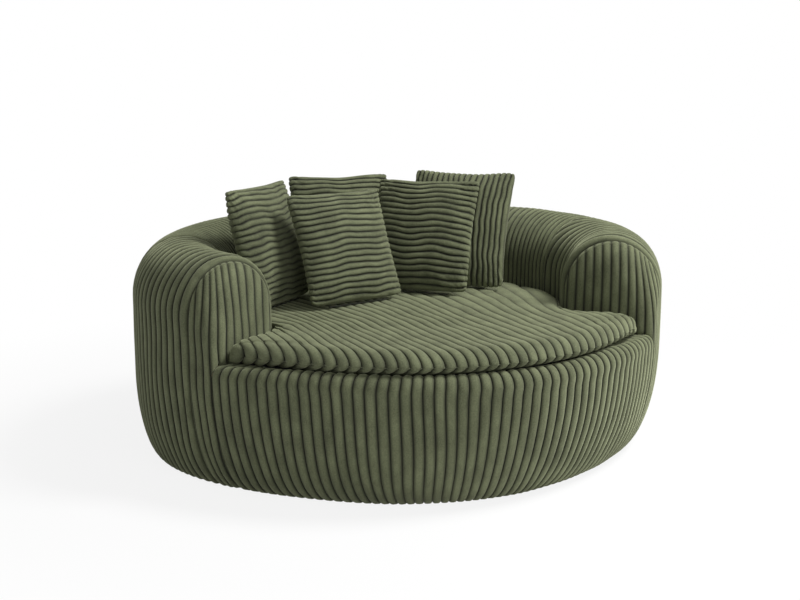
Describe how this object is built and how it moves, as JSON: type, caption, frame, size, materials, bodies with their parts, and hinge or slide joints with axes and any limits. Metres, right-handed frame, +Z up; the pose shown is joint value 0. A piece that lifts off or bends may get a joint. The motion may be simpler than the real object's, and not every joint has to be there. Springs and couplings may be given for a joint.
{
  "type": "lounge chair",
  "caption": "Low round upholstered lounge chair with a C-shaped arm and back roll, a loose seat cushion and loose throw pillows.",
  "frame": {"origin": "on the floor under the middle of the chair", "axes": "+X to the right seen from the back, front faces -Y, +Z up"},
  "size_m": [1.6, 1.48, 0.8054],
  "materials": {
    "corduroy": "wide-ribbed pile, matt",
    "foam": "open-cell foam, matt",
    "fibre": "fibre filling, matt",
    "dust_cloth": "non-woven cloth, matt",
    "plywood": "raw",
    "pine": "sawn",
    "liner_board": "hardboard",
    "steel": "bright wire",
    "glide_plastic": "satin",
    "zip_plastic": "satin"
  },
  "bodies": {
    "base": {"dust_cover": "dust_cloth", "glides": "glide_plastic", "glide_screws": "steel", "base_board": "plywood", "posts": "pine", "deck_board": "plywood", "springs": "steel", "spring_clips": "steel", "tie_wires": "steel", "arm_formers_left": "plywood", "arm_formers_right": "plywood", "back_formers": "plywood", "top_rail": "plywood", "outer_liner": "liner_board", "inner_liner": "liner_board", "front_liner": "liner_board", "arm_foam_left": "foam", "arm_foam_right": "foam", "back_foam": "foam", "front_foam": "foam", "nose_pad_left": "foam", "nose_pad_right": "foam", "deck_pad": "foam", "deck_cloth": "dust_cloth", "arm_cover_left": "corduroy", "arm_cover_right": "corduroy", "arm_face_left": "corduroy", "arm_face_right": "corduroy", "back_cover_left": "corduroy", "back_cover_middle": "corduroy", "back_cover_right": "corduroy", "front_cover": "corduroy"},
    "seat_cushion": {"cushion_cover": "corduroy", "cushion_foam": "foam", "cushion_zip": "zip_plastic"},
    "pillow_1": {"pillow_1_cover": "corduroy", "pillow_1_fill": "fibre", "pillow_1_zip": "zip_plastic"},
    "pillow_2": {"pillow_2_cover": "corduroy", "pillow_2_fill": "fibre", "pillow_2_zip": "zip_plastic"},
    "pillow_3": {"pillow_3_cover": "corduroy", "pillow_3_fill": "fibre", "pillow_3_zip": "zip_plastic"},
    "pillow_4": {"pillow_4_cover": "corduroy", "pillow_4_fill": "fibre", "pillow_4_zip": "zip_plastic"},
    "pillow_5": {"pillow_5_cover": "corduroy", "pillow_5_fill": "fibre", "pillow_5_zip": "zip_plastic"}
  },
  "joints": [
    {"name": "seat_cushion_lift", "type": "slide", "parent": "base", "child": "seat_cushion", "axis": [0, 0, 1], "range_m": [0, 0.3]},
    {"name": "pillow_1_lift", "type": "slide", "parent": "seat_cushion", "child": "pillow_1", "axis": [-0.174, 0.1681, 0.9703], "range_m": [0, 0.45]},
    {"name": "pillow_2_lift", "type": "slide", "parent": "seat_cushion", "child": "pillow_2", "axis": [0.006, 0.342, 0.9397], "range_m": [0, 0.45]},
    {"name": "pillow_3_lift", "type": "slide", "parent": "seat_cushion", "child": "pillow_3", "axis": [-0.1272, 0.3694, 0.9205], "range_m": [0, 0.45]},
    {"name": "pillow_4_lift", "type": "slide", "parent": "seat_cushion", "child": "pillow_4", "axis": [0.2202, 0.3031, 0.9272], "range_m": [0, 0.45]},
    {"name": "pillow_5_lift", "type": "slide", "parent": "seat_cushion", "child": "pillow_5", "axis": [0.2202, 0.3031, 0.9272], "range_m": [0, 0.45]}
  ]
}
